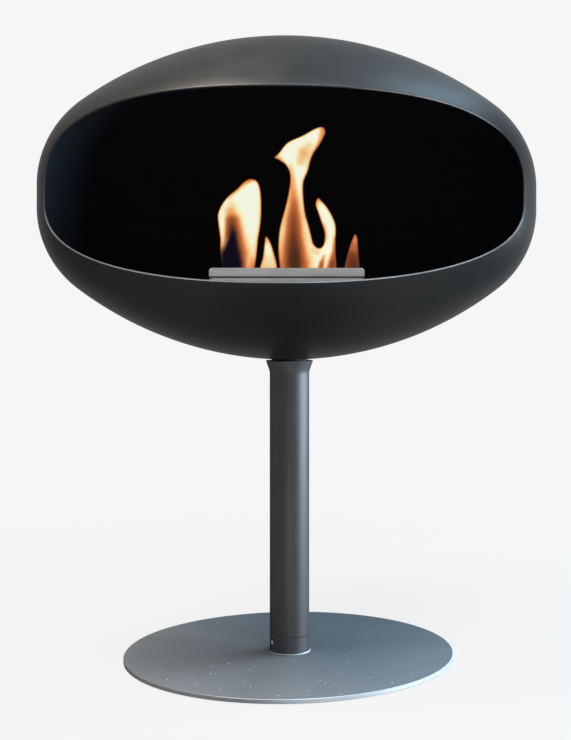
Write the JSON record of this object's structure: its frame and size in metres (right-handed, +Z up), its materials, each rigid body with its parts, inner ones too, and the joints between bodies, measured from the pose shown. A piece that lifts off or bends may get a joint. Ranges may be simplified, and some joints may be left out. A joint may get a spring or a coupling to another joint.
{
  "type": "bioethanol fireplace",
  "caption": "Free-standing bioethanol fireplace: a lens-shaped steel body with a wide window, turning on a round pedestal, with a lift-out burner and a sliding lid.",
  "frame": {"origin": "on the pole's axis, on the floor that the ring under the base plate stands on", "axes": "+Z up along the pole; -Y out of the window, towards a person in front; +X to that person's right"},
  "size_m": [0.6, 0.5657, 0.75],
  "materials": {
    "body_coat": "satin black powder coat",
    "stand_coat": "satin black powder coat",
    "stainless": "brushed",
    "turned_steel": "turned",
    "zinc_steel": "zinc plated",
    "bronze": "sintered",
    "rubber": "matt",
    "ceramic_fibre": "fibrous"
  },
  "bodies": {
    "stand": {"floor_ring": "rubber", "base_plate": "stand_coat", "foot_bolt": "zinc_steel", "base_socket": "stand_coat", "foot_weld": "stand_coat", "socket_screws": "zinc_steel", "foot_plug": "turned_steel", "pole_tube": "stand_coat", "pole_head": "stand_coat", "bush_lower": "bronze", "bush_upper": "bronze", "thrust_washer": "bronze"},
    "body": {"swivel_spindle": "turned_steel", "spindle_washer": "zinc_steel", "spindle_nut": "zinc_steel", "bowl_boss": "turned_steel", "lower_shell": "body_coat", "upper_shell": "body_coat", "seam_ring": "body_coat", "cradle_spacers": "stainless", "cradle_tray": "stainless", "cradle_screws": "zinc_steel"},
    "burner": {"burner_casing": "stainless", "tank_blanket": "ceramic_fibre", "fuel_tank": "stainless", "fibre_filling": "ceramic_fibre", "mesh_screen": "stainless", "burner_top": "stainless", "guide_rail_left": "stainless", "guide_rail_right": "stainless"},
    "lid": {"snuffer_lid": "stainless"}
  },
  "joints": [
    {"name": "swivel", "type": "hinge", "parent": "stand", "child": "body", "pos_m": [0, 0, 0.3618], "axis": [0, 0, 1], "continuous": true},
    {"name": "burner_lift", "type": "slide", "parent": "body", "child": "burner", "axis": [0, 0, 1], "range_m": [0, 0.07]},
    {"name": "lid_slide", "type": "slide", "parent": "burner", "child": "lid", "axis": [0, 1, 0], "range_m": [0, 0.072]}
  ]
}
